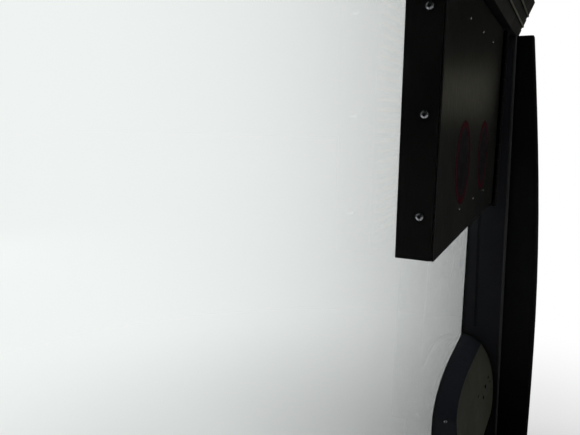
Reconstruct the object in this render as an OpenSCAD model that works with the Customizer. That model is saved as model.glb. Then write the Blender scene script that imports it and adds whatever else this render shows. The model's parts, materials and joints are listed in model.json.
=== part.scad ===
// Side window bay of an airport passenger bus, with the side sign cabinet that hangs inside its pane.
// +X runs towards the front of the bus, +Y towards the outside, +Z up.
// The origin is the centre of the four bolt holes on the underside of the waist rail.

/* [Window frame] */
// Length of the bay, over its two posts
bay_l = 1720; // [1500:10:2200]
// Height of the clear opening between the waist rail and the cantrail
opening_h = 1130; // [900:10:1300]
// Depth of the steel tubes, from the saloon side to the pane side
tube_d = 50; // [40:1:60]
// Height of the waist rail
waist_h = 60; // [50:1:80]
// Height of the cantrail
cantrail_h = 100; // [90:1:130]
// Width of each post along the bus
post_w = 60; // [50:1:80]
// Wall of the steel tubes
tube_t = 3; // [2:0.5:4]
// Outer corner radius of the steel tubes
tube_r = 6; // [4:0.5:8]

/* [Frame bolts] */
// Distance of the bolt holes from the ends of the bay
bolt_inset = 80; // [40:5:150]
// Distance between the bolt holes across the tube
bolt_gauge = 24; // [20:1:26]
// Radius of each bolt hole
bolt_r = 4.5; // [3.5:0.1:5.5]

/* [Pane] */
// Thickness of the glass
pane_t = 5; // [4:0.5:8]
// Overlap of the glass on the tubes
pane_lap = 32; // [20:1:45]
// Corner radius of the glass
pane_r = 30; // [10:1:60]
// Thickness of the rubber between the glass and the tubes
seal_t = 5; // [3:0.5:8]
// Width of the rubber around the edge of the glass
seal_w = 8; // [5:0.5:12]
// Width of the rubber that lies behind the glass
seal_lap = 22; // [12:1:26]

/* [Linings] */
// Thickness of the moulded linings
lining_t = 3; // [2:0.5:4]
// Corner radius of the moulded linings
lining_r = 9; // [6:0.5:12]
// Depth of the cove's flat underside in front of the cantrail
cove_soffit = 37; // [25:1:60]
// Distance that the cove's face leans into the saloon over its height
cove_lean = 38; // [20:1:60]
// Height of the cove's face
cove_h = 93; // [80:1:100]
// Height of the groove under each pale strip
cove_groove_h = 7; // [5:0.5:10]
// Depth of those grooves
cove_groove_d = 1.6; // [1:0.1:1.8]
// Height of each pale strip on the cove
strip_h = 4; // [3:0.5:6]
// Amount that each pale strip stands out of the cove
strip_proud = 1.6; // [1:0.1:3]
// Height of the lower pale strip above the cove's underside
strip_low = 28; // [15:1:35]
// Height of the upper pale strip above the cove's underside
strip_high = 55; // [45:1:75]

/* [Front post trim] */
// Distance from the tube to the trim's inboard edge, at the top
trim_top = 36; // [25:1:60]
// Further distance at the bottom, because the edge leans
trim_lean = 27; // [5:1:40]
// Swell of the trim's face between the pane and the edge strip
trim_swell = 4; // [2:0.5:6]
// Radius of the round edge strip
bead_r = 5; // [4:0.5:7]
// Amount that the edge strip stands out of the trim
bead_proud = 1; // [0.5:0.5:2]
// Width of the groove that runs beside the edge strip
groove_w = 7; // [4:0.5:10]
// Depth of that groove
groove_d = 2; // [0.8:0.1:2]
// Distance between the groove and the edge strip
groove_from_edge = 67; // [50:1:75]
// Height of the groove's lower end
groove_end = 359; // [340:1:500]

/* [Pillar casing] */
// Width of the casing at the top
casing_top_w = 46; // [30:1:70]
// Width of the casing at the bottom
casing_bottom_w = 88; // [80:1:120]
// Swell of the casing's saloon side halfway up
casing_swell = 20; // [5:1:30]
// Radius of the casing's rounded edge
casing_r = 8; // [5:0.5:12]
// Gap between the edge strip and the casing
casing_gap = 0.3; // [0.1:0.1:2]

/* [Corner housing] */
// Length of the housing along the bus
housing_l = 409; // [300:1:500]
// Height of the housing above the middle of its section
housing_up = 197; // [150:1:240]
// Height of the housing below the middle of its section
housing_down = 130; // [100:1:130]
// Depth of the housing's section from its back
housing_d = 101; // [80:1:110]
// Exponent of the section's curve, where 2 is an ellipse
housing_power = 2.4; // [2:0.1:3]
// Length of the curve at the top of the rear end
rear_curve_l = 244; // [100:1:280]
// Height of the curve at the top of the rear end
rear_curve_h = 92; // [60:1:120]
// Radius of the curve at the bottom of the rear end
rear_foot_r = 70; // [40:1:100]
// Width of the shoulder between the back and the crease, at the top of the rear end
shoulder_w = 46; // [40:1:55]
// Amount that the crease lies inside the housing's outline
shoulder_fall = 21; // [10:1:35]
// Width of the narrow land that softens the crease
crease_land = 1; // [0.5:0.1:2]
// Angle of the crease along the bus
crease_turn = 1.3; // [0.5:0.1:3]
// Angle of the crease from upright
crease_tilt = 5.8; // [2:0.1:8]
// Gap between the housing and the pane
housing_gap = 3; // [1:0.5:6]
// Thickness of the housing's back plate
back_t = 3; // [2:0.5:4]
// Slots in the saloon face: distance from the post, height above the section's middle, length, height
slots = [[54, 96, 13, 7], [96, 85, 15, 10], [40, 78, 10, 4], [174, 90, 13, 6], [124, 64, 13, 8]];

/* [Sign cabinet] */
// Length of the cabinet
cabinet_l = 720; // [500:10:900]
// Depth of the cabinet
cabinet_d = 58; // [50:1:58]
// Height of the cabinet
cabinet_h = 430; // [300:10:500]
// Gap between the cabinet's display side and the pane
cabinet_pane_gap = 19; // [12:1:24]
// Gap between the cabinet and the cantrail
cabinet_top_gap = 6; // [5:1:20]
// Distance between the cabinet's front end and the post
cabinet_post_gap = 155; // [120:1:250]
// Thickness of the cabinet's folded sheet
sheet_t = 2; // [1.5:0.1:2.5]
// Width of the folded lips around the display
lip_w = 14; // [10:1:20]
// Width of the saloon cover's folded returns
return_w = 12; // [8:1:14]
// Seam between neighbouring sheets
seam = 0.3; // [0.2:0.05:0.5]
// Seam along the corner between the saloon cover and each end plate
corner_gap = 0.9; // [0.3:0.1:1.5]
// Thickness of the clear window over the display
window_t = 3; // [2:0.5:4]
// Thickness of the rubber frame around that window
gasket_t = 2; // [1:0.5:3]
// Amount of the rubber frame that shows inside the lips
gasket_show = 1; // [0.5:0.5:2]
// Amount that the rubber frame and the window reach beyond the lips
window_lap = 9; // [6:1:10]

/* [Display tiles] */
// Number of display tiles along the cabinet
tile_cols = 4; // [2:1:5]
// Number of display tiles up the cabinet
tile_rows = 2; // [1:1:2]
// Gap between neighbouring tiles
tile_gap = 1; // [0.5:0.5:3]
// Thickness of a tile's base
tile_base_t = 4; // [3:0.5:5]
// Height of a tile's rim and shade blades
blade_d = 7; // [4:0.5:8]
// Thickness of a shade blade
blade_t = 0.8; // [0.6:0.1:1.2]
// Number of shade blades on a tile
blades = 12; // [6:1:16]
// Clear depth between the blades and the window
blade_clear = 4; // [3:0.5:8]
// Height of each rail behind the tiles
rail_h = 20; // [14:1:30]
// Depth of each rail behind the tiles
rail_d = 8; // [6:0.5:10]

/* [Cabinet hinge] */
// Radius of the hinge's knuckles
knuckle_r = 6; // [5:0.5:7]
// Radius of the hinge pin
pin_r = 3; // [1.5:0.1:3.2]
// Running clearance around the pin
pin_clear = 0.05; // [0.02:0.01:0.1]
// Height of the pin's head
pin_head_h = 2; // [1:0.5:4]
// Number of knuckles
knuckles = 11; // [5:2:15]
// Gap between neighbouring knuckles
knuckle_gap = 0.6; // [0.4:0.1:1]
// Thickness of each hinge leaf
leaf_t = 2; // [1.5:0.1:2.5]
// Gap between the closed leaves
leaf_gap = 2; // [1:0.5:3]
// Gap between the knuckles and the flat of the other leaf
leaf_clear = 1; // [0.6:0.1:2]
// Width of each hinge leaf
leaf_w = 38; // [30:1:42]
// Distance that the hinge reaches below the cabinet
hinge_drop = 12; // [5:1:20]
// Thickness of the hinge bracket's sheet
bracket_t = 3; // [2:0.5:4]
// Width of the bracket's foot on the post
bracket_foot = 28; // [20:1:30]
// Corner radius of the windows in the bracket
bracket_r = 12; // [6:1:20]
// Width of the sheet around the windows in the bracket
bracket_rim = 24; // [16:1:30]

/* [Rear stop] */
// Length of the stop along the bus
stop_l = 40; // [30:1:60]
// Distance of the stop from the cabinet's rear end
stop_from_end = 35; // [20:1:80]
// Overlap of the stop on the cabinet's display side
stop_lap = 14; // [10:1:18]
// Thickness of the rubber buffer
buffer_t = 4.7; // [3:0.1:5]

/* [Cable gland] */
// Radius of the gland's bore
gland_bore_r = 4; // [2.5:0.1:5]
// Radius of the gland's thread
gland_thread_r = 8; // [6:0.5:9]
// Radius of the gland's cap
gland_cap_r = 9.5; // [9.2:0.1:11]
// Height of the gland's cap
gland_cap_h = 15; // [10:1:18]
// Corner radius of the gland's hexagon and nut
gland_hex_r = 11.5; // [11.2:0.1:13]
// Thickness of the gland's hexagon and nut
gland_hex_h = 5; // [4:0.5:7]
// Distance of the gland from the cabinet's front end
gland_from_end = 45; // [30:1:100]

/* [Hidden] */
$fn = 48;
cut = 1;
slice = 0.01;
opening_z = waist_h;
cantrail_z = waist_h + opening_h;
bay_h = cantrail_z + cantrail_h;
end_x = bay_l / 2;
post_x = end_x - post_w;
bolt_span = bay_l - 2 * bolt_inset;
tube_y = tube_d / 2;

pane_y = tube_y + seal_t;
pane_l = 2 * (post_x + pane_lap);
pane_h = opening_h + 2 * pane_lap;
pane_z = opening_z - pane_lap;

trim_x = post_x - lining_t;
trim_top_y = -tube_y - trim_top;
trim_bottom_y = trim_top_y - trim_lean;
trim_slope = atan(trim_lean / cantrail_z);
trim_back_y = pane_y - housing_gap;
trim_steps = 14;
bead_x = trim_x + bead_r - bead_proud;
bead_l = cantrail_z / cos(trim_slope);
groove_share = groove_from_edge / (trim_back_y - (trim_top_y + trim_bottom_y) / 2);
groove_x = trim_x - trim_swell * sin(180 * groove_share);
casing_x = bead_x + bead_r + casing_gap;
casing_top_y = trim_top_y - casing_top_w;
casing_bottom_y = trim_bottom_y - casing_bottom_w;
casing_steps = 12;
casing_turn = 18;

cove_edge_y = -tube_y - cove_soffit;
strip_gap = 0.1;

cabinet_x1 = post_x - cabinet_post_gap;
cabinet_x0 = cabinet_x1 - cabinet_l;
cabinet_y1 = pane_y - cabinet_pane_gap;
cabinet_y0 = cabinet_y1 - cabinet_d;
cabinet_z1 = cantrail_z - cabinet_top_gap;
cabinet_z0 = cabinet_z1 - cabinet_h;
inner_x0 = cabinet_x0 + sheet_t;
inner_x1 = cabinet_x1 - sheet_t;
inner_l = inner_x1 - inner_x0;
fold_y = cabinet_y0 + sheet_t + return_w;
gasket_y = cabinet_y1 - sheet_t - gasket_t;
window_y = gasket_y - window_t;
view_x0 = cabinet_x0 + lip_w;
view_l = cabinet_l - 2 * lip_w;
view_z0 = cabinet_z0 + lip_w;
view_h = cabinet_h - 2 * lip_w;

tile_w = (view_l - (tile_cols + 1) * tile_gap) / tile_cols;
tile_h = (view_h - (tile_rows + 1) * tile_gap) / tile_rows;
tile_y = window_y - blade_clear - blade_d - tile_base_t;
blade_pitch = tile_h / blades;

hinge_x = cabinet_x1 + leaf_t + leaf_gap / 2;
hinge_y = cabinet_y0 - knuckle_r;
hinge_z = cabinet_z0 - hinge_drop;
hinge_l = cabinet_z1 - hinge_z - seam;
knuckle_l = hinge_l / knuckles;
leaf_y = hinge_y + knuckle_r + leaf_clear;
bracket_x = hinge_x + leaf_gap / 2 + leaf_t;
bracket_web_y = leaf_y + leaf_w;
foot_x = trim_x - trim_swell - bracket_t;

stop_x = cabinet_x0 + stop_from_end;
stop_y = cabinet_y1 + seam + buffer_t;

housing_x0 = trim_x - housing_l;
housing_mid_z = housing_down;
housing_z1 = housing_mid_z + housing_up;
housing_back_y = pane_y - housing_gap;
rail_top = waist_h + seam;
curve_step = 5;

// Rectangle with round corners, its lowest corner at the origin
module round_rect(size, r) {
    translate([r, 0]) square([size.x - 2 * r, size.y]);
    translate([0, r]) square([size.x, size.y - 2 * r]);
    for (x = [r, size.x - r], y = [r, size.y - r])
        translate([x, y]) circle(r);
}

// Ring between a round rectangle and the same rectangle made smaller on all sides
module round_ring(size, r, w) {
    difference() {
        round_rect(size, r);
        translate([w, w]) round_rect([size.x - 2 * w, size.y - 2 * w], max(r - w, 1));
    }
}

// Extrusion along X of a drawing in Y and Z
module along_x(x, l) {
    translate([x, 0, 0]) rotate([90, 0, 90]) linear_extrude(l) children();
}

// Extrusion along Y of a drawing in X and Z
module along_y(y, l) {
    translate([0, y + l, 0]) rotate([90, 0, 0]) linear_extrude(l) children();
}

// Extrusion along Z of a drawing in X and Y
module along_z(z, l) {
    translate([0, 0, z]) linear_extrude(l) children();
}

// Square steel tube that runs along the bus, closed at both ends by welded plates
module long_tube(z, h) {
    along_x(-end_x, bay_l) translate([-tube_y, z]) round_ring([tube_d, h], tube_r, tube_t);
    for (x = [-end_x, end_x - tube_t])
        along_x(x, tube_t) translate([-tube_y, z]) round_rect([tube_d, h], tube_r);
}

// Upright steel tube between the two long ones
module post_tube(x) {
    along_z(opening_z, opening_h) translate([x, -tube_y]) round_ring([post_w, tube_d], tube_r, tube_t);
}

// The four bolt holes, drilled through one wall of a long tube
module frame_bolts(z) {
    for (x = [-bolt_span / 2, bolt_span / 2], y = [-bolt_gauge / 2, bolt_gauge / 2])
        translate([x, y, z - cut]) cylinder(r = bolt_r, h = tube_t + 2 * cut);
}

module waist_rail() {
    color("dimgray") difference() {
        long_tube(0, waist_h);
        frame_bolts(0);
    }
}

module cantrail() {
    color("dimgray") difference() {
        long_tube(cantrail_z, cantrail_h);
        frame_bolts(bay_h - tube_t);
    }
}

module rear_post() {
    color("dimgray") post_tube(-end_x);
}

module front_post() {
    color("dimgray") post_tube(post_x);
}

module pane() {
    color("lightblue", 0.3) along_y(pane_y, pane_t)
        translate([-pane_l / 2, pane_z]) round_rect([pane_l, pane_h], pane_r);
}

module pane_seal() {
    color("black") {
        along_y(tube_y, seal_t)
            translate([-pane_l / 2, pane_z]) round_ring([pane_l, pane_h], pane_r, seal_lap);
        along_y(tube_y, seal_t + pane_t) translate([-pane_l / 2 - seal_w, pane_z - seal_w])
            round_ring([pane_l + 2 * seal_w, pane_h + 2 * seal_w], pane_r + seal_w, seal_w);
    }
}

// Angle of moulded lining on the waist rail, up to the corner housing
module sill_lining() {
    x0 = -trim_x;
    color("darkslategray") along_x(x0, housing_x0 - seam - x0) {
        translate([-tube_y - lining_t, 0]) square([lining_t, waist_h]);
        translate([-tube_y, waist_h]) square([tube_d - cut, lining_t]);
        intersection() {
            translate([-tube_y, waist_h]) circle(lining_t);
            translate([-tube_y - lining_t, waist_h]) square(lining_t);
        }
    }
}

// Point on the cove's face, at a height above its underside
function cove_at(h) = [cove_edge_y - cove_lean * h / cove_h, cantrail_z + h];

module cove_lining() {
    color("gray") along_x(-end_x, bay_l) difference() {
        polygon([[-tube_y, cantrail_z], cove_at(0), cove_at(cove_h), [-tube_y, cantrail_z + cove_h],
            [-tube_y, cantrail_z + cove_h - lining_t], cove_at(cove_h - lining_t) + [lining_t, 0],
            cove_at(lining_t) + [lining_t, 0], [-tube_y, cantrail_z + lining_t]]);
        for (h = [strip_low, strip_high])
            polygon([cove_at(h - cove_groove_h) - [cut, 0], cove_at(h) - [cut, 0],
                cove_at(h) + [cove_groove_d, 0], cove_at(h - cove_groove_h) + [cove_groove_d, 0]]);
    }
}

// Pale strip that runs along the cove's face
module cove_strip(h) {
    color("lightgray") along_x(-end_x, bay_l)
        translate([-strip_gap, 0]) polygon([cove_at(h), cove_at(h) - [strip_proud, 0],
            cove_at(h + strip_h) - [strip_proud, 0], cove_at(h + strip_h)]);
}

module rear_post_trim() {
    color("darkslategray") along_z(opening_z + lining_t, opening_h - lining_t) {
        translate([-post_x, -tube_y - lining_t + lining_r]) square([lining_t, tube_d - lining_r]);
        translate([-end_x, -tube_y - lining_t]) square([post_w + lining_t - lining_r, lining_t]);
        translate([-post_x + lining_t - lining_r, -tube_y - lining_t + lining_r]) intersection() {
            difference() {
                circle(lining_r);
                circle(lining_r - lining_t);
            }
            translate([0, -lining_r]) square(lining_r);
        }
    }
}

// Places the post's leaning edge strip, or a cut for it
module post_edge(r) {
    translate([bead_x, trim_bottom_y, 0]) rotate([-trim_slope, 0, 0]) cylinder(r = r, h = bead_l);
}

// Section of the front post's trim, where the edge strip lies at edge_y: a swelled face and a straight cheek
function trim_section(edge_y, wall) = concat(
    [for (i = [0:trim_steps]) [trim_x + wall - trim_swell * sin(180 * i / trim_steps),
        trim_back_y + (edge_y + wall - trim_back_y) * i / trim_steps]],
    [[end_x + wall, edge_y + wall], [end_x + wall, trim_back_y]]);

// Upright form between the trim's sections at its two ends
module trim_form(wall) {
    hull() {
        along_z(-wall, wall + slice) polygon(trim_section(trim_bottom_y, wall));
        along_z(cantrail_z - slice, wall + slice) polygon(trim_section(trim_top_y, wall));
    }
}

module front_post_trim() {
    color([0.11, 0.12, 0.14]) difference() {
        trim_form(0);
        trim_form(lining_t);
        translate([post_x, tube_y, -cut]) cube([post_w + cut, pane_y, bay_h]);
        post_edge(bead_r);
        translate([groove_x + groove_d - 2 * trim_swell, trim_bottom_y, 0]) rotate([-trim_slope, 0, 0])
            translate([0, groove_from_edge, groove_end]) cube([2 * trim_swell, groove_w, bay_h]);
        translate([trim_x - trim_swell - cut, -tube_y - seam, -cut])
            cube([post_w + 2 * trim_swell, tube_d + seal_t + seam, rail_top + cut]);
    }
}

module post_edge_strip() {
    color([0.3, 0.3, 0.31]) intersection() {
        post_edge(bead_r - seam / 3);
        translate([bead_x - bead_r, trim_bottom_y - 2 * bead_r, 0])
            cube([2 * bead_r, trim_lean + 4 * bead_r, cantrail_z]);
    }
}

// Point on the casing's saloon side, at a share of its height and moved outboard by an offset
function casing_at(share, offset) = [casing_bottom_y + offset + (casing_top_y - casing_bottom_y) * share
    - casing_swell * sin(180 * share), cantrail_z * share];

// Outline of the casing across the bus, from the edge strip's line to the curved saloon side
function casing_outline(offset, edge) = concat([[trim_top_y + edge, cantrail_z], [trim_bottom_y + edge, 0]],
    [for (i = [0:casing_steps]) casing_at(i / casing_steps, offset)]);

// Form of the casing, its curved upright edge rounded along its whole length
module casing_form(wall, edge, l) {
    round_r = casing_r - wall;
    hull() for (turn = [0:casing_turn:90]) {
        x = casing_x + casing_r - round_r * cos(turn);
        along_x(x, end_x + l - x) polygon(casing_outline(casing_r - round_r * sin(turn), edge));
    }
}

module pillar_casing() {
    color([0.03, 0.03, 0.035]) difference() {
        casing_form(0, -seam, 0);
        intersection() {
            casing_form(lining_t, cut, cut);
            translate([0, 2 * casing_bottom_y, lining_t])
                cube([bay_l, -2 * casing_bottom_y, cantrail_z - 2 * lining_t]);
        }
    }
}

// Quarter of a curve between an ellipse and a rectangle, from straight along the first axis to the second
function quarter(centre, a, b, from) = [for (t = [from:curve_step:from + 90])
    centre + [a * sign(round(cos(t) * 100)) * pow(abs(cos(t)), 2 / housing_power),
        b * sign(round(sin(t) * 100)) * pow(abs(sin(t)), 2 / housing_power)]];

// Section of the housing across the bus
function housing_section(wall) = let (middle = [housing_back_y, housing_mid_z]) concat(
    quarter(middle, housing_d - wall, housing_up - wall, 90),
    quarter(middle, housing_d - wall, housing_down - wall, 180));

// Outline of the housing seen from the saloon, its rear end rounded, made smaller by an inset
function housing_side(inset) = concat(
    [[trim_x, housing_z1 - inset]],
    quarter([housing_x0 + rear_curve_l, housing_z1 - rear_curve_h],
        rear_curve_l - inset, rear_curve_h - inset, 90),
    quarter([housing_x0 + rear_foot_r, rear_foot_r], rear_foot_r - inset, rear_foot_r - inset, 180));

// Form of the housing: the outline at its back, the crease, and the section against the post's trim
module housing_form(wall) {
    difference() {
        hull() {
            along_y(housing_back_y - back_t, back_t) polygon(concat(housing_side(wall), [[trim_x, wall]]));
            translate([housing_x0, housing_back_y - shoulder_w + wall, housing_z1])
                rotate([-crease_tilt, 0, -crease_turn]) translate([-housing_x0, 0, -housing_z1])
                    along_y(0, crease_land) polygon(housing_side(shoulder_fall + wall));
            along_x(trim_x - lining_t, lining_t) polygon(housing_section(wall));
        }
        trim_form(0);
    }
}

// Slots through the saloon face
module housing_slots() {
    for (s = slots)
        along_y(-2 * housing_d, 2 * housing_d)
            translate([trim_x - s[0] - s[2] / 2, housing_mid_z + s[1] - s[3] / 2])
                round_rect([s[2], s[3]], s[3] / 2 - seam);
}

module corner_housing() {
    color([0.14, 0.15, 0.14]) difference() {
        housing_form(0);
        difference() {
            housing_form(lining_t);
            translate([housing_x0, -tube_y - 2 * lining_t, 0])
                cube([housing_l, 2 * tube_d, rail_top + lining_t]);
            translate([trim_x - trim_swell - lining_t, -2 * housing_d, 0])
                cube([trim_swell + lining_t, 4 * housing_d, bay_h]);
        }
        translate([housing_x0 - cut, -tube_y - seam, -cut])
            cube([housing_l + 2 * cut, 2 * tube_d, rail_top + cut]);
        translate([housing_x0 - cut, housing_back_y - back_t, rail_top])
            cube([housing_l + 2 * cut, back_t + cut, housing_z1]);
        housing_slots();
    }
}

module housing_back() {
    color([0.05, 0.05, 0.05]) intersection() {
        housing_form(0);
        translate([housing_x0 - cut, housing_back_y - back_t, rail_top])
            cube([housing_l + cut, back_t + cut, housing_z1]);
    }
}

// Folded bracket that carries the hinge from the front post
module hinge_bracket() {
    web_l = foot_x + bracket_t - bracket_x;
    window_l = web_l - 2 * bracket_rim;
    window_h = (hinge_l - 3 * bracket_rim) / 2;
    color("dimgray") difference() {
        along_z(hinge_z, hinge_l) {
            translate([bracket_x, leaf_y]) square([bracket_t, leaf_w + bracket_t]);
            translate([bracket_x, bracket_web_y]) square([web_l, bracket_t]);
            translate([foot_x, bracket_web_y]) square([bracket_t, bracket_foot]);
        }
        for (row = [0, 1])
            along_y(bracket_web_y - cut, bracket_t + 2 * cut)
                translate([bracket_x + bracket_rim, hinge_z + bracket_rim + row * (window_h + bracket_rim)])
                    round_rect([window_l, window_h], bracket_r);
    }
}

// Hinge leaf with its own knuckles: side is -1 for the cabinet's leaf and 1 for the fixed one
module hinge_leaf(side, first) {
    leaf_x = side < 0 ? cabinet_x1 : bracket_x - leaf_t;
    difference() {
        union() {
            along_z(hinge_z + (side < 0 ? hinge_drop : 0), hinge_l - (side < 0 ? hinge_drop : 0))
                translate([leaf_x, leaf_y]) square([leaf_t, leaf_w]);
            for (i = [first:2:knuckles - 1])
                translate([0, 0, hinge_z + i * knuckle_l + knuckle_gap / 2]) {
                    translate([hinge_x, hinge_y, 0]) cylinder(r = knuckle_r, h = knuckle_l - knuckle_gap);
                    translate([leaf_x, hinge_y, 0])
                        cube([leaf_t, leaf_y - hinge_y + slice, knuckle_l - knuckle_gap]);
                }
        }
        translate([hinge_x, hinge_y, hinge_z - cut]) cylinder(r = pin_r + pin_clear, h = hinge_l + 2 * cut);
    }
}

module fixed_leaf() {
    color("dimgray") hinge_leaf(1, 0);
}

module moving_leaf() {
    color("dimgray") hinge_leaf(-1, 1);
}

module hinge_pin() {
    color("silver") translate([hinge_x, hinge_y, hinge_z]) {
        cylinder(r = pin_r, h = hinge_l);
        translate([0, 0, -pin_head_h]) cylinder(r = knuckle_r - leaf_clear, h = pin_head_h);
    }
}

module stop_angle() {
    color("dimgray") along_x(stop_x, stop_l) {
        translate([stop_y, cantrail_z - bracket_t]) square([tube_y - stop_y, bracket_t]);
        translate([stop_y, cabinet_z1 - stop_lap])
            square([bracket_t, cantrail_z - cabinet_z1 + stop_lap]);
    }
}

module stop_buffer() {
    color("black") along_x(stop_x, stop_l)
        translate([stop_y - buffer_t, cabinet_z1 - stop_lap]) round_rect([buffer_t, stop_lap], 1);
}

// Saloon side of the cabinet, with its upright edges bent round and returns along the top and the bottom
module cabinet_cover() {
    color([0.06, 0.065, 0.06]) {
        along_z(cabinet_z0, cabinet_h) intersection() {
            translate([cabinet_x0, cabinet_y0]) square([cabinet_l, sheet_t]);
            union() {
                translate([inner_x0, cabinet_y0]) square([inner_l, sheet_t]);
                for (x = [inner_x0, inner_x1])
                    translate([x, cabinet_y0 + sheet_t]) circle(sheet_t);
            }
        }
        for (z = [cabinet_z0, cabinet_z1 - sheet_t])
            translate([inner_x0 + seam, cabinet_y0 + sheet_t, z])
                cube([inner_l - 2 * seam, return_w, sheet_t]);
    }
}

// Folded channel along the cabinet's top or bottom: display lip, panel and a joggled lip under the cover
module case_channel(z, up) {
    color([0.06, 0.065, 0.06]) along_x(inner_x0 + seam, inner_l - 2 * seam)
        translate([0, z]) scale([1, up]) {
            translate([fold_y + seam, 0]) square([cabinet_y1 - fold_y - seam, sheet_t]);
            translate([cabinet_y1 - sheet_t, 0]) square([sheet_t, lip_w]);
            translate([cabinet_y0 + 2 * sheet_t, sheet_t]) square([return_w + sheet_t, sheet_t]);
        }
}

module case_top() {
    case_channel(cabinet_z1, -1);
}

module case_bottom() {
    difference() {
        case_channel(cabinet_z0, 1);
        translate([cabinet_x1 - gland_from_end, gland_y(), cabinet_z0 - cut])
            cylinder(r = gland_thread_r + seam / 2, h = sheet_t * 2 + cut);
    }
}

// End plate: outer sheet with a folded lip on the display side
module end_plate(x, side) {
    lip_x = side < 0 ? x + sheet_t : x - lip_w + sheet_t;
    color([0.03, 0.03, 0.03]) {
        along_x(x, sheet_t) translate([cabinet_y0 + sheet_t + corner_gap, cabinet_z0])
            square([cabinet_d - sheet_t - corner_gap, cabinet_h]);
        translate([lip_x, cabinet_y1 - sheet_t, view_z0 + seam])
            cube([lip_w - sheet_t, sheet_t, view_h - 2 * seam]);
    }
}

module rear_end_plate() {
    end_plate(cabinet_x0, -1);
}

module front_end_plate() {
    end_plate(inner_x1, 1);
}

module display_window() {
    color("lightblue", 0.4) along_y(window_y, window_t)
        translate([view_x0 - window_lap, view_z0 - window_lap])
            square([view_l + 2 * window_lap, view_h + 2 * window_lap]);
}

module window_gasket() {
    color("black") along_y(gasket_y, gasket_t)
        translate([view_x0 - window_lap, view_z0 - window_lap]) difference() {
            square([view_l + 2 * window_lap, view_h + 2 * window_lap]);
            translate([window_lap + gasket_show, window_lap + gasket_show])
                square([view_l - 2 * gasket_show, view_h - 2 * gasket_show]);
        }
}

// Rail between the end plates that carries the display tiles
module tile_rail(level) {
    low = view_z0 + tile_gap + rail_h / 2;
    high = view_z0 + view_h - tile_gap - rail_h / 2;
    centre = low + level * (high - low);
    rail_edge = [tile_y - rail_d, centre - rail_h / 2];
    color("silver") along_x(inner_x0, inner_l) translate(rail_edge) difference() {
        square([rail_d, rail_h]);
        translate([-cut, sheet_t]) square([rail_d - sheet_t + cut, rail_h - 2 * sheet_t]);
    }
}

// Display tile: base, rim and the horizontal blades that shade the lamps
module tile(col, row) {
    translate([view_x0 + tile_gap + col * (tile_w + tile_gap), tile_y,
        view_z0 + tile_gap + row * (tile_h + tile_gap)]) color([0.04, 0.04, 0.045]) {
        cube([tile_w, tile_base_t, tile_h]);
        for (i = [0:blades])
            translate([0, tile_base_t, min(i * blade_pitch, tile_h - blade_t)])
                cube([tile_w, blade_d, blade_t]);
        for (x = [0, tile_w - blade_t])
            translate([x, tile_base_t, 0]) cube([blade_t, blade_d, tile_h]);
    }
}

// Middle of the gland across the cabinet
function gland_y() = (fold_y + cabinet_y1) / 2;

module cable_gland() {
    color("black") translate([cabinet_x1 - gland_from_end, gland_y(), cabinet_z0]) difference() {
        union() {
            translate([0, 0, -gland_hex_h]) cylinder(r = gland_hex_r, h = gland_hex_h, $fn = 6);
            cylinder(r = gland_thread_r, h = sheet_t + gland_hex_h);
            translate([0, 0, sheet_t + seam]) cylinder(r = gland_hex_r, h = gland_hex_h - seam, $fn = 6);
            translate([0, 0, -gland_hex_h - gland_cap_h]) cylinder(r = gland_cap_r, h = gland_cap_h);
        }
        translate([0, 0, -gland_hex_h - gland_cap_h - cut])
            cylinder(r = gland_bore_r, h = gland_cap_h + 2 * gland_hex_h + sheet_t + 2 * cut);
    }
}

waist_rail();
cantrail();
rear_post();
front_post();
pane();
pane_seal();
sill_lining();
cove_lining();
cove_strip(strip_low);  // cove_strip_low
cove_strip(strip_high);  // cove_strip_high
rear_post_trim();
front_post_trim();
post_edge_strip();
pillar_casing();
corner_housing();
housing_back();
hinge_bracket();
fixed_leaf();
hinge_pin();
stop_angle();
stop_buffer();
cabinet_cover();
case_top();
case_bottom();
rear_end_plate();
front_end_plate();
display_window();
window_gasket();
tile_rail(0);  // tile_rail_low
tile_rail(0.5);  // tile_rail_mid
tile_rail(1);  // tile_rail_high
tile(0, 0);  // tile_1_1
tile(1, 0);  // tile_2_1
tile(2, 0);  // tile_3_1
tile(3, 0);  // tile_4_1
tile(0, 1);  // tile_1_2
tile(1, 1);  // tile_2_2
tile(2, 1);  // tile_3_2
tile(3, 1);  // tile_4_2
moving_leaf();
cable_gland();
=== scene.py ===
"""Dresses the bus side window bay with finishes and with small pieces such as screws, lamps and stickers,
and adds the studio and the photograph's camera."""

import json
import math

import bmesh
import bpy
from mathutils import Matrix, Vector


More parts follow.
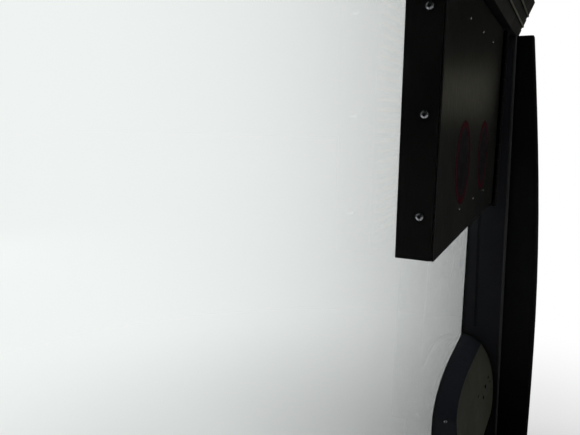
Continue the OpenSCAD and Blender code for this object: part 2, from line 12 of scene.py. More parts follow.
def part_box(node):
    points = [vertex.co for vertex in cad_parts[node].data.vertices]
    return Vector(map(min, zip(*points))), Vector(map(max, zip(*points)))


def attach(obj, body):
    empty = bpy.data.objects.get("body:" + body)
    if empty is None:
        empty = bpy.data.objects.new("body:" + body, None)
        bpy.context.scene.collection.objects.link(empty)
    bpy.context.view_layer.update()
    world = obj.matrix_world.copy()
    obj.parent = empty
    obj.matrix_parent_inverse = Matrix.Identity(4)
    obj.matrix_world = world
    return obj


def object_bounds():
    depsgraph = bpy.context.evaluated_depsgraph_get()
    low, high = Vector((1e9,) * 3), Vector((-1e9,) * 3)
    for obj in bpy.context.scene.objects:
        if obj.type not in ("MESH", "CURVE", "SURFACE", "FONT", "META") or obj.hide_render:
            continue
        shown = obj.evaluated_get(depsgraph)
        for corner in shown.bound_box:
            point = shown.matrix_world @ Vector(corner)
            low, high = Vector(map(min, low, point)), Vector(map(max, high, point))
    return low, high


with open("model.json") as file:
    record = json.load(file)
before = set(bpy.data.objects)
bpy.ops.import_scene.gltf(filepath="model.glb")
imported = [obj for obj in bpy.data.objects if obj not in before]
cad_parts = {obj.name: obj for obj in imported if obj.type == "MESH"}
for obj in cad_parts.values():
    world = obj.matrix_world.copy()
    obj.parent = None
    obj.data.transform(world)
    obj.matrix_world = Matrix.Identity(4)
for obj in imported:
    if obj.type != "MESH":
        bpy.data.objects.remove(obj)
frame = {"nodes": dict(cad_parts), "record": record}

cad_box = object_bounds()
MM = 0.001
nodes = frame["nodes"]


# Camera, solved from the straight edges of the bus in the photograph
EYE = Vector((-900, -210, 960)) * MM
LENS_MM = 35.06
SENSOR_MM = 36
TURN_LEFT = math.radians(25.83)
LOOK_DOWN = math.radians(9.84)
ROLL = math.radians(0.56)


def add_camera():
    """The photograph's camera. Its axes are worked out from the three angles."""
    ahead = Vector((math.cos(LOOK_DOWN) * math.cos(TURN_LEFT), math.cos(LOOK_DOWN) * math.sin(TURN_LEFT),
                    -math.sin(LOOK_DOWN)))
    level = Vector((math.sin(TURN_LEFT), -math.cos(TURN_LEFT), 0))
    right = math.cos(ROLL) * level + math.sin(ROLL) * level.cross(ahead)
    up = right.cross(ahead)
    lens = bpy.data.cameras.new("camera")
    lens.lens = LENS_MM
    lens.sensor_width = SENSOR_MM
    lens.clip_start = 10 * MM
    lens.clip_end = 100
    camera = bpy.data.objects.new("camera", lens)
    camera.matrix_world = Matrix.Translation(EYE) @ Matrix((right, up, -ahead)).transposed().to_4x4()
    bpy.context.scene.collection.objects.link(camera)
    bpy.context.scene.camera = camera


# Node materials

EDGE_R = 0.8 * MM
# Cosine between the rounded and the true normal, where wear starts and where it is full
EDGE_SPAN = (0.98, 0.8)
# Painted shade: crevices and joints are darkened towards near black, found by occlusion within this reach
SHADE_REACH = 18 * MM
# Share of the surroundings that is open, where the painted shade starts and where it is full
SHADE_SPAN = (0.98, 0.6)
CREVICE_SHADE = (0.001, 0.001, 0.001)
SAMPLES = 6


class Paint:
    """A node material being put together, with short names for the nodes that it uses."""

    def __init__(self, name):
        self.material = bpy.data.materials.new(name)
        self.material.use_nodes = True
        self.tree = self.material.node_tree
        self.shader = self.tree.nodes["Principled BSDF"]
        self.output = self.tree.nodes["Material Output"]
        self.coords = self.tree.nodes.new("ShaderNodeTexCoord").outputs["Object"]

    def node(self, kind, inputs=None, **settings):
        """A new node with its inputs set or linked, and its settings."""
        node = self.tree.nodes.new(kind)
        for key, value in settings.items():
            setattr(node, key, value)
        for key, value in (inputs or {}).items():
            self.put(node.inputs[key], value)
        return node

    def put(self, socket, value):
        """Links an output to the socket, or sets its value."""
        if isinstance(value, bpy.types.NodeSocket):
            self.tree.links.new(value, socket)
        else:
            socket.default_value = value

    def stretched(self, scale):
        """Object coordinates stretched by a scale along each axis."""
        return self.node("ShaderNodeMapping", {"Vector": self.coords, "Scale": scale}).outputs[0]

    def noise(self, scale, detail=3, coords=None):
        """Noise with a number of waves to a metre."""
        return self.node("ShaderNodeTexNoise", {"Vector": coords or self.coords, "Scale": scale,
                                                "Detail": detail}).outputs[0]

    def cells(self, scale):
        """Distance to the middle of the nearest cell, with a number of cells to a metre."""
        return self.node("ShaderNodeTexVoronoi", {"Vector": self.coords, "Scale": scale}).outputs["Distance"]

    def span(self, value, low, high, to_low=0.0, to_high=1.0):
        """A value mapped smoothly from one range to another."""
        return self.node("ShaderNodeMapRange", {"Value": value, "From Min": low, "From Max": high,
                                                "To Min": to_low, "To Max": to_high},
                         interpolation_type="SMOOTHSTEP").outputs[0]

    def calc(self, operation, *values):
        """The result of a Math node."""
        node = self.node("ShaderNodeMath", operation=operation)
        for socket, value in zip(node.inputs, values):
            self.put(socket, value)
        return node.outputs[0]

    def blend(self, share, a, b):
        """A colour between a and b."""
        node = self.node("ShaderNodeMix", data_type="RGBA")
        for socket, value in zip((node.inputs[0], node.inputs[6], node.inputs[7]), (share, a, b)):
            self.put(socket, value)
        return node.outputs[2]

    def soft(self):
        """The normal with sharp edges rounded by the edge radius."""
        return self.node("ShaderNodeBevel", {"Radius": EDGE_R}, samples=SAMPLES).outputs[0]

    def edges(self):
        """1 on sharp outer edges and 0 on flats, broken up where hands and cloths rub."""
        node = self.node("ShaderNodeVectorMath", operation="DOT_PRODUCT")
        self.put(node.inputs[0], self.soft())
        self.put(node.inputs[1], self.node("ShaderNodeNewGeometry").outputs["True Normal"])
        rubbed = self.span(self.noise(35, 7), 0.3, 0.6)
        return self.calc("MULTIPLY", self.span(node.outputs["Value"], *EDGE_SPAN), rubbed)

    def crevices(self):
        """1 deep in grooves and joints, where shade is painted in, and 0 on open faces."""
        node = self.node("ShaderNodeAmbientOcclusion", {"Distance": SHADE_REACH}, samples=SAMPLES)
        return self.span(node.outputs["AO"], *SHADE_SPAN)

    def worn_and_shaded(self, base, bare, rubbed, shaded):
        """The base with a share of the bare colour on its edges and a share of painted shade in its
        crevices.
        """
        base = self.blend(self.calc("MULTIPLY", self.edges(), rubbed), base, rgb(*bare))
        return self.blend(self.calc("MULTIPLY", self.crevices(), shaded), base, rgb(*CREVICE_SHADE))

    def bump(self, height, depth, strength):
        """A normal from a height, whose full range is the depth in metres, with sharp edges rounded."""
        return self.node("ShaderNodeBump", {"Height": height, "Distance": depth, "Strength": strength,
                                            "Normal": self.soft()}).outputs[0]

    def set(self, **values):
        """Sets or links the shader's sockets, named with underscores for spaces."""
        for key, value in values.items():
            self.put(self.shader.inputs[key.replace("_", " ")], value)


def rgb(red, green, blue):
    """A colour with full alpha."""
    return (red, green, blue, 1)


def moulded(name, colour, worn, rough=0.5, grain=1100, depth=0.12 * MM, level=0.3, shade=None):
    """Moulded plastic with a fine pebbled grain, faint clouds of wear, rubbed edges and painted shade in its
    crevices.
    A function given as shade changes its colour in places."""
    paint = Paint(name)
    clouds = paint.span(paint.noise(5, 6), 0.35, 0.68)
    rubbed = paint.noise(14, 8)
    pebbles = paint.cells(grain)
    fine = paint.noise(grain * 2.2, 4)
    height = paint.calc("ADD", pebbles, paint.calc("MULTIPLY", fine, 0.4))
    base = paint.blend(clouds, rgb(*colour), rgb(*worn))
    if shade:
        base = shade(paint, base, clouds)
    base = paint.worn_and_shaded(base, [2.2 * c for c in worn], rubbed=0.6, shaded=0.85)
    paint.set(Base_Color=base, Roughness=paint.span(rubbed, 0.3, 0.75, rough + 0.08, rough - 0.07),
              Normal=paint.bump(height, depth, 0.7), Specular_IOR_Level=level)
    return paint.material


def painted(name, colour, dusty, rough=0.38, level=0.3, streak=None, rub=2.5):
    """Sprayed paint with faint orange peel, edges worn to some times the dusty colour, and painted shade in
    its crevices.
    A scale given as streak adds streaks."""
    paint = Paint(name)
    clouds = paint.noise(7, 6)
    peel = paint.noise(420, 2)
    lines = paint.noise(60, 4, paint.stretched(streak)) if streak else paint.noise(260, 3)
    share = paint.span(paint.calc("MULTIPLY", clouds, paint.calc("ADD", lines, 0.35)), 0.3, 0.62)
    base = paint.blend(share, rgb(*colour), rgb(*dusty))
    base = paint.worn_and_shaded(base, [rub * c for c in dusty], rubbed=0.7, shaded=0.6)
    paint.set(Base_Color=base, Roughness=paint.span(lines, 0.3, 0.7, rough - 0.05, rough + 0.08),
              Normal=paint.bump(peel, 0.04 * MM, 0.6), Specular_IOR_Level=level)
    return paint.material


def rubber(name, colour=(0.006, 0.006, 0.0065)):
    """Matt black rubber, powdery in places."""
    paint = Paint(name)
    bloom = paint.span(paint.noise(30, 8), 0.45, 0.8)
    paint.set(Base_Color=paint.blend(bloom, rgb(*colour), rgb(0.016, 0.016, 0.0165)),
              Roughness=paint.span(paint.noise(90, 5), 0.3, 0.7, 0.62, 0.85),
              Normal=paint.bump(paint.noise(1500, 3), 0.05 * MM, 0.6), Specular_IOR_Level=0.25)
    return paint.material


def bare_metal(name, colour, rough=0.3, along=(3, 80, 80)):
    """Drawn metal with fine lines along its length."""
    paint = Paint(name)
    lines = paint.noise(40, 5, paint.stretched(along))
    shade = tuple(c * 0.8 for c in colour)
    paint.set(Base_Color=paint.blend(paint.span(paint.noise(25, 6), 0.35, 0.7), rgb(*colour), rgb(*shade)),
              Roughness=paint.span(lines, 0.3, 0.7, rough - 0.06, rough + 0.1), Metallic=1.0,
              Normal=paint.bump(lines, 0.03 * MM, 0.5))
    return paint.material


def glass(name, tint, smear=0.06, frit=None):
    """Clear sheet that lamps shine through, faintly smeared. A function given as frit prints it black
    in places."""
    paint = Paint(name)
    smears = paint.span(paint.noise(9, 9, paint.stretched((1, 1, 0.35))), 0.5, 0.85, 0.0, smear)
    paint.set(Base_Color=rgb(*tint), Roughness=smears, IOR=1.45, Transmission_Weight=1.0)
    clear = paint.node("ShaderNodeBsdfTransparent", {"Color": rgb(*tint)}).outputs[0]
    shadow = paint.node("ShaderNodeLightPath").outputs["Is Shadow Ray"]
    mix = paint.node("ShaderNodeMixShader", {0: shadow, 1: paint.shader.outputs[0], 2: clear}).outputs[0]
    if frit:
        mix = paint.node("ShaderNodeMixShader", {0: frit(paint), 1: mix, 2: ceramic(paint)}).outputs[0]
    paint.put(paint.output.inputs["Surface"], mix)
    return paint.material


def ceramic(paint):
    """Black ceramic print, as a shader."""
    clouds = paint.span(paint.noise(60, 5), 0.3, 0.8)
    shade = paint.blend(clouds, rgb(0.006, 0.006, 0.007), rgb(0.014, 0.014, 0.015))
    return paint.node("ShaderNodeBsdfPrincipled", {"Base Color": shade, "Roughness": 0.22}).outputs[0]


FRIT_W = 38 * MM
FRIT_DOT = 3.2 * MM
FRIT_ROWS = 3
# Radius of the dots in the first row and at the border's edge, as a share of their spacing
FRIT_SHARES = (0.62, 0.1)


def from_rim(paint, place, low, high):
    """How far a place lies inside the nearer of two rims."""
    off_centre = paint.calc("ABSOLUTE", paint.calc("SUBTRACT", place, (low + high) / 2))
    return paint.calc("SUBTRACT", (high - low) / 2, off_centre)


def pane_frit(paint):
    """1 in the black border of the pane, which ends in rows of dots that shrink."""
    low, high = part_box("pane")
    solid_w = FRIT_W - FRIT_ROWS * FRIT_DOT
    part = paint.node("ShaderNodeSeparateXYZ", {0: paint.coords})
    inside = paint.calc("MINIMUM", from_rim(paint, part.outputs[0], low.x, high.x),
                        from_rim(paint, part.outputs[2], low.z, high.z))
    solid = paint.calc("LESS_THAN", inside, solid_w)
    flat = paint.node("ShaderNodeCombineXYZ", {0: part.outputs[0], 1: part.outputs[2]}).outputs[0]
    dots = paint.node("ShaderNodeTexVoronoi", {"Vector": flat, "Scale": 1 / FRIT_DOT, "Randomness": 0.0},
                      voronoi_dimensions="2D").outputs["Distance"]
    size = paint.span(inside, solid_w, FRIT_W, *FRIT_SHARES)
    dotted = paint.calc("MULTIPLY", paint.calc("LESS_THAN", dots, size),
                        paint.calc("LESS_THAN", inside, FRIT_W))
    return paint.calc("MAXIMUM", solid, dotted)


# Normal's Y over which the painted light on the saloon-facing face fades in
LIT_FACE_SPAN = (-0.6, -0.8)


def painted_olive_light(paint, base, clouds):
    """The smooth face that the housing turns to the saloon is painted a lighter, warmer olive than its
    grained shoulder, as painted light from the saloon side.
    """
    normal = paint.node("ShaderNodeNewGeometry").outputs["True Normal"]
    side = paint.node("ShaderNodeSeparateXYZ", {0: normal})
    # Painted light: the faces turned to the saloon get a lighter olive colour
    smooth = paint.blend(clouds, rgb(0.04, 0.0405, 0.031), rgb(0.05, 0.0505, 0.0395))
    return paint.blend(paint.span(side.outputs[1], *LIT_FACE_SPAN), base, smooth)


GROOVE_H = 7 * MM


def dark_grooves(paint, base, clouds):
    """The grooves under the pale strips are coloured near black."""
    part = paint.node("ShaderNodeSeparateXYZ", {0: paint.coords}).outputs[2]
    black = paint.blend(clouds, rgb(0.003, 0.003, 0.003), rgb(0.005, 0.005, 0.005))
    for strip in ("cove_strip_low", "cove_strip_high"):
        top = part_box(strip)[0].z
        inside = paint.calc("MULTIPLY", paint.calc("LESS_THAN", part, top),
                            paint.calc("GREATER_THAN", part, top - GROOVE_H))
        base = paint.blend(inside, base, black)
    return base


def make_finishes():
    """The materials for the record's slots, and for the screws."""
    return {
        "frame_steel": painted("frame_steel", (0.02, 0.021, 0.023), (0.033, 0.033, 0.034), rough=0.42),
        "pane_glass": glass("pane_glass", (0.93, 0.965, 0.95), frit=pane_frit),
        "black_rubber": rubber("black_rubber"),
        "lining_plastic": moulded("lining_plastic", (0.0084, 0.0085, 0.0112), (0.0116, 0.0117, 0.015),
                                  rough=0.52, level=0.22),
        "cove_plastic": moulded("cove_plastic", (0.009, 0.0087, 0.009), (0.0125, 0.012, 0.012), rough=0.55,
                                shade=dark_grooves),
        "pale_strip": bare_metal("pale_strip", (0.42, 0.42, 0.38), rough=0.36),
        "edge_plastic": moulded("edge_plastic", (0.026, 0.026, 0.0265), (0.034, 0.034, 0.0345), rough=0.42,
                                depth=0.06 * MM),
        "casing_plastic": moulded("casing_plastic", (0.0024, 0.0024, 0.0026), (0.0038, 0.0038, 0.004),
                                  rough=0.5, level=0.16),
        "housing_plastic": moulded("housing_plastic", (0.012, 0.0135, 0.0178), (0.0165, 0.018, 0.0225),
                                   rough=0.46, level=0.2, shade=painted_olive_light),
        "hinge_steel": painted("hinge_steel", (0.003, 0.003, 0.003), (0.006, 0.006, 0.006),
                               rough=0.5, level=0.12, rub=1.2),
        "pin_steel": bare_metal("pin_steel", (0.05, 0.05, 0.053), rough=0.36, along=(80, 80, 3)),
        "cabinet_paint": painted("cabinet_paint", (0.007, 0.0069, 0.0063), (0.0122, 0.012, 0.0109),
                                 rough=0.34, level=0.22, streak=(12, 12, 0.6)),
        "clear_sheet": glass("clear_sheet", (0.9, 0.91, 0.9), smear=0.04),
        "rail_aluminium": bare_metal("rail_aluminium", (0.6, 0.61, 0.62)),
        "zinc": bare_metal("zinc", (0.7, 0.71, 0.74), rough=0.16, along=(20, 20, 20)),
        "bright_zinc": bare_metal("bright_zinc", (0.82, 0.82, 0.8), rough=0.2, along=(20, 20, 20)),
        # Near black for the dome screws' washers, and painted shade inside the screws' sockets and recesses
        "socket": rubber("socket", (0.004, 0.004, 0.004)),
        "tile_plastic": moulded("tile_plastic", (0.005, 0.005, 0.0055), (0.008, 0.008, 0.009), rough=0.6),
    }


finishes = make_finishes()


def dress_cad():
    """Gives each CAD node the finish of its slot in the record."""
    for part in frame["record"]["subparts"]:
        piece = nodes[part["node"]]
        piece.data.materials.clear()
        piece.data.materials.append(finishes[part["material_slot"]])


# Small pieces that the CAD model leaves out: fasteners, stickers, lamps, beads and rivet nuts

WASHER_T = 1.2 * MM
CHAMFER = 0.3 * MM
HEAD_SHARE = 0.55
ROUND_STEPS = 24


class Shape:
    """A mesh being put together from turned forms."""

    def __init__(self):
        self.bm = bmesh.new()

    def loop(self, place, radius, height, steps, corners=0):
        """New points round the place's Z axis, at a radius and a height."""
        return [self.bm.verts.new(place @ Vector((*ring_point(radius, i / steps, corners), height)))
                for i in range(steps)]

    def bridge(self, low, high):
        """New faces between two loops that have as many points."""
        return [self.bm.faces.new(corners)
                for corners in zip(low, low[1:] + low[:1], high[1:] + high[:1], high)]

    def lathe(self, place, rings, steps=ROUND_STEPS, material=0):
        """Turns rings about the place's Z axis: each is (radius, height) or (radius, height, corners)."""
        loops = [self.loop(place, radius, height, steps, *corners) for radius, height, *corners in rings]
        faces = [self.bm.faces.new(reversed(loops[0])), self.bm.faces.new(loops[-1])]
        for low, high in zip(loops, loops[1:]):
            faces += self.bridge(low, high)
        for face in faces:
            face.material_index = material
            face.smooth = len(face.verts) == 4

    def ring(self, place, outline):
        """Turns a closed outline of (radius, height) about the place's Z axis, and leaves a hole."""
        loops = [self.loop(place, radius, height, ROUND_STEPS) for radius, height in outline]
        for low, high in zip(loops, loops[1:] + loops[:1]):
            self.bridge(low, high)

    def done(self, name, materials, body, origin=None):
        """Makes the piece, which rides on a body. Its own origin may lie at a point."""
        mesh = bpy.data.meshes.new(name)
        self.bm.to_mesh(mesh)
        self.bm.free()
        if origin:
            mesh.transform(Matrix.Translation(-origin))
        for material in materials:
            mesh.materials.append(material)
        piece = bpy.data.objects.new(name, mesh)
        piece.location = origin or (0, 0, 0)
        bpy.context.scene.collection.objects.link(piece)
        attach(piece, body)


def ring_point(radius, turn, corners):
    """A point on a circle, or on a polygon with that many corners and that distance to its flats."""
    angle = turn * math.tau
    if corners:
        side = math.tau / corners
        radius /= math.cos((angle + side / 2) % side - side / 2)
    return radius * math.cos(angle), radius * math.sin(angle)


def spread(low, high, i, count, share=0.5):
    """The place a share of the way into one of a number of equal steps between two ends."""
    return low + (high - low) * (i + share) / count


def facing(place, direction):
    """The matrix of something that stands on a point and looks along a direction."""
    return Matrix.Translation(place) @ Vector(direction).to_track_quat("Z", "Y").to_matrix().to_4x4()


def dome_screw(shape, place, radius, washer=0.0):
    """Dome head with a hexagon socket, on a washer if it has a radius."""
    lift = 0.0
    if washer:
        lift = WASHER_T
        shape.lathe(place, [(washer, 0), (washer, lift * 0.8), (washer - CHAMFER, lift)], material=1)
    tall = radius * HEAD_SHARE
    rings = [(radius * math.cos(a), lift + tall * math.sin(a)) for a in (0, 0.25, 0.5, 0.75, 1.0)]
    shape.lathe(place, [*rings, (radius * 0.46, lift + tall * 0.9), (radius * 0.4, lift + tall * 0.86, 6)])
    # The socket's walls take the near-black finish, as painted shade inside the hole
    shape.lathe(place, [(radius * 0.395, lift + tall * 0.3, 6), (radius * 0.398, lift + tall * 0.862, 6)],
                material=1)


def flat_screw(shape, place, radius):
    """Low domed head, with a small near-black square as painted shade for its recess."""
    tall = radius * HEAD_SHARE
    shape.lathe(place, [(radius, 0), (radius * 0.97, tall * 0.4), (radius * 0.8, tall * 0.75),
                        (radius * 0.55, tall * 0.95), (radius * 0.3, tall)])
    shape.lathe(place, [(radius * 0.26, tall * 0.9, 4), (radius * 0.26, tall * 1.02, 4)], steps=16,
                material=1)


def hex_bolt(shape, place, radius):
    """Hexagon head with a chamfer, on a washer."""
    flat = radius * 0.87
    shape.lathe(place, [(radius * 1.25, 0), (radius * 1.25, WASHER_T * 0.8), (radius * 1.2, WASHER_T)])
    shape.lathe(place, [(flat, WASHER_T, 6), (flat, WASHER_T + radius * 0.7, 6),
                        (flat * 0.93, WASHER_T + radius * 0.8)])


DOME_R = 6.2 * MM
DOME_WASHER_R = 7.6 * MM
DOME_FROM_EDGE = 66 * MM
DOME_OFF_CENTRE = 5.5 * MM
SMALL_R = 2.9 * MM
SMALL_X = (206 * MM, 368 * MM, 522 * MM)
SMALL_FROM_EDGE = 52 * MM


def add_cabinet_screws():
    """Dome heads on the rear end plate, and small heads along the saloon cover's top and bottom."""
    zinc, socket = finishes["zinc"], finishes["socket"]
    low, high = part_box("cabinet_cover")
    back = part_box("rear_end_plate")[1].y
    middle = (low.y + back) / 2 - DOME_OFF_CENTRE
    shape = Shape()
    for z in (low.z + DOME_FROM_EDGE, (low.z + high.z) / 2, high.z - DOME_FROM_EDGE):
        dome_screw(shape, facing((low.x, middle, z), (-1, 0, 0)), DOME_R, DOME_WASHER_R)
    shape.done("end_screws", [zinc, socket], "sign_cabinet")
    shape = Shape()
    for x in SMALL_X:
        for z in (low.z + SMALL_FROM_EDGE, high.z - SMALL_FROM_EDGE):
            flat_screw(shape, facing((low.x + x, low.y, z), (0, -1, 0)), SMALL_R)
    shape.done("cover_screws", [finishes["bright_zinc"], socket], "sign_cabinet")


LEAF_T = 2 * MM
LEAF_SCREWS = 6
LEAF_SCREW_R = 3.6 * MM
LEAF_SCREW_EDGE = 0.2 * MM
LEAF_SCREW_T = 0.35 * MM
LEAF_ROWS = (24 * MM, 10 * MM)
BRACKET_T = 3 * MM
BRACKET_BOLTS = 4
BRACKET_BOLT_R = 5.8 * MM
BRACKET_BOLT_IN = 14 * MM
STOP_BOLT_R = 4 * MM
STOP_BOLT_IN = 10 * MM
STOP_BOLT_OUT = 2 * MM


def add_hinge_screws():
    """Flat screws through both leaves, in two rows."""
    profile = [(LEAF_SCREW_R, 0), (LEAF_SCREW_R, LEAF_SCREW_EDGE), (LEAF_SCREW_R * 0.6, LEAF_SCREW_T)]
    plate_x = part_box("front_end_plate")[1].x
    bracket_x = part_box("hinge_bracket")[0].x
    leaves = [("moving_leaf", plate_x, 1, "sign_cabinet"), ("fixed_leaf", bracket_x, -1, "bay")]
    for leaf, x, way, body in leaves:
        low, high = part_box(leaf)
        shape = Shape()
        for i in range(LEAF_SCREWS):
            y = high.y - LEAF_ROWS[i % 2]
            place = (x + way * LEAF_T, y, spread(low.z, high.z, i, LEAF_SCREWS))
            shape.lathe(facing(place, (way, 0, 0)), profile)
        shape.done(leaf + "_screws", [finishes["hinge_steel"]], body)


def add_bracket_bolts():
    """Bolts through the bracket's foot and through the stop."""
    low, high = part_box("hinge_bracket")
    shape = Shape()
    for i in range(BRACKET_BOLTS):
        place = (high.x - BRACKET_T, high.y - BRACKET_BOLT_IN, spread(low.z, high.z, i, BRACKET_BOLTS))
        hex_bolt(shape, facing(place, (-1, 0, 0)), BRACKET_BOLT_R)
    low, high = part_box("stop_angle")
    for x in (low.x + STOP_BOLT_IN, high.x - STOP_BOLT_IN):
        place = (x, (low.y + high.y) / 2 + STOP_BOLT_OUT, high.z - BRACKET_T)
        hex_bolt(shape, facing(place, (0, 0, -1)), STOP_BOLT_R)
    shape.done("bracket_bolts", [finishes["zinc"]], "bay")


STICKER_R = 75 * MM
STICKER_T = 0.25 * MM
STICKER_X = (218 * MM, 477 * MM)
STICKER_UP = 133 * MM
STICKER_STEPS = 96
RING_W = 12.5 * MM
RING_MARGIN = 1.5 * MM
RING_BLUR = 0.5 * MM


def sticker_finish():
    """Dark ground with a red ring near its edge and nothing inside."""
    paint = Paint("sticker")
    flat = paint.node("ShaderNodeVectorMath", {0: paint.coords, 1: (1, 0, 1)}, operation="MULTIPLY")
    reach = paint.node("ShaderNodeVectorMath", {0: flat.outputs[0]}, operation="LENGTH").outputs["Value"]
    inner = STICKER_R - RING_W
    outer = STICKER_R - RING_MARGIN
    ring = paint.calc("MULTIPLY", paint.span(reach, inner, inner + RING_BLUR),
                      paint.span(reach, outer, outer - RING_BLUR))
    faded = paint.span(paint.noise(24, 7), 0.35, 0.75)
    ground = paint.blend(faded, rgb(0.0086, 0.0074, 0.0084), rgb(0.0063, 0.0054, 0.0062))
    red = paint.blend(faded, rgb(0.034, 0.0012, 0.005), rgb(0.027, 0.0018, 0.0056))
    paint.set(Base_Color=paint.blend(ring, ground, red),
              Roughness=paint.span(paint.noise(50, 5), 0.3, 0.7, 0.5, 0.62),
              Normal=paint.bump(paint.noise(160, 4), 0.06 * MM, 0.5), Specular_IOR_Level=0.08)
    return paint.material


def add_stickers():
    """Two round stickers on the saloon cover, left blank."""
    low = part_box("cabinet_cover")[0]
    finish = sticker_finish()
    profile = [(STICKER_R, 0), (STICKER_R, STICKER_T * 0.4), (STICKER_R - STICKER_T, STICKER_T)]
    for i, x in enumerate(STICKER_X):
        centre = Vector((low.x + x, low.y, low.z + STICKER_UP))
        shape = Shape()
        shape.lathe(facing(centre, (0, -1, 0)), profile, steps=STICKER_STEPS)
        shape.done(f"sticker_{i + 1}", [finish], "sign_cabinet", origin=centre)


LAMP_IN = 7 * MM
LAMP_ROWS = 12
LAMP_COLUMNS = 11
LAMP_SHARE_UP = 0.45
LAMP_STEPS = 10
LAMP_R = 2.4 * MM
LAMP_RINGS = [(LAMP_R, 0), (LAMP_R, 1.6 * MM), (LAMP_R * 0.75, 2.6 * MM), (LAMP_R * 0.3, 3.1 * MM)]


def lamp_finish():
    """Amber plastic of a lamp that is off, under a clear coat."""
    paint = Paint("display_lamp")
    shade = paint.blend(paint.noise(180, 3), rgb(0.6, 0.29, 0.05), rgb(0.44, 0.2, 0.035))
    paint.set(Base_Color=shade, Roughness=0.18, Coat_Weight=0.4, Coat_Roughness=0.08)
    return paint.material


def add_display_lamps():
    """Rows of lamps between the shade blades of each tile."""
    finish = lamp_finish()
    for row in (1, 2):
        for column in (1, 2, 3, 4):
            low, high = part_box(f"tile_{column}_{row}")
            face = high.y - LAMP_IN
            shape = Shape()
            for i in range(LAMP_COLUMNS):
                for j in range(LAMP_ROWS):
                    x = spread(low.x, high.x, i, LAMP_COLUMNS)
                    z = spread(low.z, high.z, j, LAMP_ROWS, LAMP_SHARE_UP)
                    shape.lathe(facing((x, face, z), (0, 1, 0)), LAMP_RINGS, steps=LAMP_STEPS)
            shape.done(f"lamps_{column}_{row}", [finish], "sign_cabinet")


HOUSING_SCREW = Vector((400, -3, 245)) * MM
HOUSING_SCREW_R = 4.6 * MM
SHOULDER_WAY = Vector((-0.92, -0.37, 0.11))


def add_housing_screw():
    """Screw in the rear of the corner housing's shoulder."""
    shape = Shape()
    dome_screw(shape, facing(HOUSING_SCREW, SHOULDER_WAY), HOUSING_SCREW_R)
    shape.done("housing_screw", [finishes["zinc"], finishes["socket"]], "bay")


NUT_R = 4.4 * MM
NUT_BORE_R = 3.1 * MM
NUT_RIM_R = 6.4 * MM
NUT_RIM_T = 0.8 * MM
NUT_L = 10 * MM
WELD_R = 2 * MM
WELD_FROM_EDGE = 7 * MM
WELD_SIDES = 10
WELD_STEP = 0.8 * MM
# Steps in a ripple and in a tapered end, and how far a ripple changes the bead's radius
WELD_RIPPLE = 5
WELD_END = 3
WELD_WAVE = 0.12


def weld(shape, start, end):
    """A rippled bead between two points, with tapered ends."""
    run = end - start
    steps = round(run.length / WELD_STEP)
    rings = []
    for i in range(steps + 1):
        ripple = 1 + WELD_WAVE * math.cos(math.tau * i / WELD_RIPPLE)
        taper = min(1, (i + 1) / WELD_END, (steps - i + 1) / WELD_END)
        rings.append((WELD_R * ripple * taper, run.length * i / steps))
    shape.lathe(facing(start, run), rings, steps=WELD_SIDES)


def rivet_nut(shape, place):
    """Sleeve with a flat rim, open through its middle."""
    outline = [(NUT_BORE_R, -NUT_L), (NUT_R, -NUT_L), (NUT_R, 0), (NUT_RIM_R, 0),
               (NUT_RIM_R, NUT_RIM_T * 0.7), (NUT_RIM_R - CHAMFER, NUT_RIM_T), (NUT_BORE_R, NUT_RIM_T)]
    shape.ring(place, outline)


def add_frame_details():
    """Weld beads where the posts meet the long tubes, and rivet nuts in the bolt holes."""
    low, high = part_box("waist_rail")
    cantrail_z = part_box("cantrail")[0].z
    shape = Shape()
    for x in (low.x, high.x):
        for z in (high.z, cantrail_z):
            weld(shape, Vector((x, low.y + WELD_FROM_EDGE, z)), Vector((x, high.y - WELD_FROM_EDGE, z)))
    shape.done("frame_welds", [finishes["frame_steel"]], "bay")
    shape = Shape()
    for mount in frame["record"]["mounts"]:
        if mount["kind"] == "bolt_pattern":
            x = mount["dims"]["spacing_x_mm"] * MM / 2
            y = mount["dims"]["spacing_y_mm"] * MM / 2
            for corner in ((-x, -y, 0), (x, -y, 0), (-x, y, 0), (x, y, 0)):
                rivet_nut(shape, facing(Vector(mount["pos_m"]) + Vector(corner), mount["axis"]))
    shape.done("rivet_nuts", [finishes["zinc"]], "bay")


# Studio. The sheen and window spans are of a direction's Y, which is -1 into the saloon and 1 outwards

SALOON_LIGHT = 0.22
SALOON_GLOSS = 0.05
SALOON_SHEEN = 1.8
SHEEN_SPAN = (-0.55, -0.95)
WINDOW_LIGHT = 0.8
WINDOW_SPAN = (-0.4, 0.6)
# A ray that reaches the world counts one deeper there than on a surface
WORLD_DEPTH = 1
WHITE = (1, 1, 1)
OLIVE = (1, 0.985, 0.76)
SKY_BLUE = (0.85, 0.92, 1)
# Each lamp: name, place, aim, width and height, power, colour, and whether it leaves a sheen
STUDIO_LAMPS = [
    ("window_lamp", (0.4, 2.6, 2.4), (0.3, 0, 0.6), (2.2, 2.2), 60, WHITE, True),
    ("pane_lamp", (-1.7, 2.0, 0.9), (0.5, 0, 0.5), (1.6, 1.2), 4, SKY_BLUE, False),
    ("saloon_lamp", (0.4, -4.2, 0.8), (0.1, 0, 0.7), (2.6, 1.2), 60, WHITE, False),
    ("front_lamp", (4.2, -0.9, 1.2), (0.2, -0.1, 1.15), (1.1, 0.36), 0.32, OLIVE, True),
]
# How much of the floor is plain white near the part, and the distances between which that rises to all
FLOOR_GLOW = 0.45
FLOOR_NEAR = 0.3
FLOOR_FAR = 1.9
FLOOR_HALF = 30
FLOOR_GAP = 1 * MM
FLOOR_DARK = (0.12, 0.12, 0.12)
# Distance from the part, and share of it that is straight ahead, where the dark starts and where it is full
DARK_SPAN = (12, 3)
AHEAD_SPAN = (0.5, 0.85)


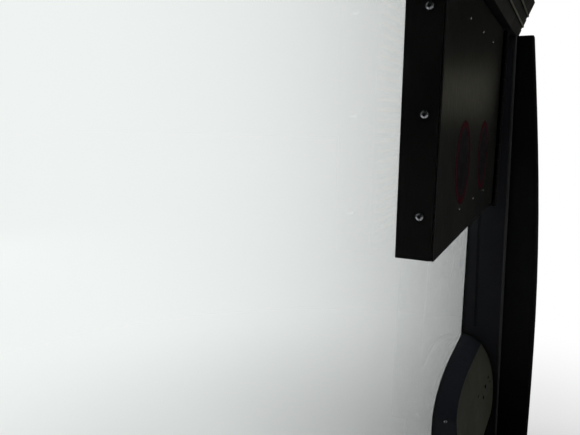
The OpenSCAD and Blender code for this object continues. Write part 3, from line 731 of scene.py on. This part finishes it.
def seen_directly(paint, own_depth=0):
    """1 for rays from the camera, also straight through glass, but not by way of a reflection in it."""
    path = paint.node("ShaderNodeLightPath")
    turned = paint.calc("SUBTRACT", path.outputs["Ray Depth"], path.outputs["Transmission Depth"])
    straight = paint.calc("MULTIPLY", path.outputs["Is Transmission Ray"],
                          paint.calc("LESS_THAN", turned, own_depth + 0.5))
    return paint.calc("MAXIMUM", path.outputs["Is Camera Ray"], straight)


class Sky(Paint):
    """The world's nodes, put together like a material's."""

    def __init__(self, name):
        self.world = bpy.data.worlds.new(name)
        self.world.use_nodes = True
        self.tree = self.world.node_tree
        self.shader = self.tree.nodes["Background"]
        self.output = self.tree.nodes["World Output"]
        self.coords = self.tree.nodes.new("ShaderNodeTexCoord").outputs["Generated"]


def add_world():
    """White to look at. As a light it is brighter on the window's side, and what faces straight into the
    saloon gets a soft sheen from it."""
    sky = Sky("studio")
    side = sky.node("ShaderNodeSeparateXYZ", {0: sky.coords}).outputs[1]
    gloss = sky.node("ShaderNodeLightPath").outputs["Is Glossy Ray"]
    sheen = sky.span(side, *SHEEN_SPAN, SALOON_GLOSS, SALOON_SHEEN)
    saloon = sky.span(gloss, 0.0, 1.0, SALOON_LIGHT, sheen)
    sky.set(Strength=sky.span(side, *WINDOW_SPAN, saloon, WINDOW_LIGHT))
    white = sky.node("ShaderNodeBackground", {"Color": rgb(*WHITE), "Strength": 1.0}).outputs[0]
    seen = seen_directly(sky, own_depth=WORLD_DEPTH)
    mix = sky.node("ShaderNodeMixShader", {0: seen, 1: sky.shader.outputs[0], 2: white}).outputs[0]
    sky.put(sky.output.inputs["Surface"], mix)
    bpy.context.scene.world = sky.world


def floor_finish():
    """Pale, and white to look at further off. A sheen finds it dark ahead of the part, as a bus floor is."""
    paint = Paint("floor")
    direct = seen_directly(paint)
    reach = paint.node("ShaderNodeVectorMath", {0: paint.coords}, operation="LENGTH").outputs["Value"]
    mirrored = paint.calc("SUBTRACT", paint.node("ShaderNodeLightPath").outputs["Is Glossy Ray"], direct)
    ahead = paint.calc("DIVIDE", paint.node("ShaderNodeSeparateXYZ", {0: paint.coords}).outputs[0], reach)
    near = paint.calc("MULTIPLY", paint.span(reach, *DARK_SPAN), paint.span(ahead, *AHEAD_SPAN))
    dim = paint.calc("MULTIPLY", mirrored, near)
    grey = paint.blend(paint.noise(3, 4), rgb(0.82, 0.82, 0.82), rgb(0.86, 0.86, 0.86))
    paint.set(Base_Color=paint.blend(dim, grey, rgb(*FLOOR_DARK)), Roughness=0.9)
    far = paint.calc("MULTIPLY", paint.span(reach, FLOOR_NEAR, FLOOR_FAR, FLOOR_GLOW), direct)
    white = paint.node("ShaderNodeEmission", {"Color": rgb(*WHITE), "Strength": 1.0}).outputs[0]
    mix = paint.node("ShaderNodeMixShader", {0: far, 1: paint.shader.outputs[0], 2: white}).outputs[0]
    paint.put(paint.output.inputs["Surface"], mix)
    return paint.material


def add_floor():
    """A plain floor just under the part."""
    mesh = bpy.data.meshes.new("floor")
    corners = [(x * FLOOR_HALF, y * FLOOR_HALF, 0) for x, y in ((-1, -1), (1, -1), (1, 1), (-1, 1))]
    mesh.from_pydata(corners, [], [(0, 1, 2, 3)])
    mesh.materials.append(floor_finish())
    floor = bpy.data.objects.new("floor", mesh)
    floor.location.z = cad_box[0][2] - FLOOR_GAP
    bpy.context.scene.collection.objects.link(floor)


def add_lamps():
    """Soft lamps that aren't seen through the pane."""
    for name, place, aim, size, power, colour, sheen in STUDIO_LAMPS:
        lamp = bpy.data.lights.new(name, "AREA")
        lamp.shape = "RECTANGLE"
        lamp.size, lamp.size_y = size
        lamp.energy = power
        lamp.color = colour
        holder = bpy.data.objects.new(name, lamp)
        holder.visible_transmission = False
        holder.visible_glossy = sheen
        holder.location = place
        holder.rotation_euler = (Vector(aim) - Vector(place)).to_track_quat("-Z", "Y").to_euler()
        bpy.context.scene.collection.objects.link(holder)


bpy.context.scene.view_settings.view_transform = "Standard"
add_camera()
dress_cad()
add_cabinet_screws()
add_hinge_screws()
add_bracket_bolts()
add_stickers()
add_display_lamps()
add_housing_screw()
add_frame_details()
add_world()
add_floor()
add_lamps()
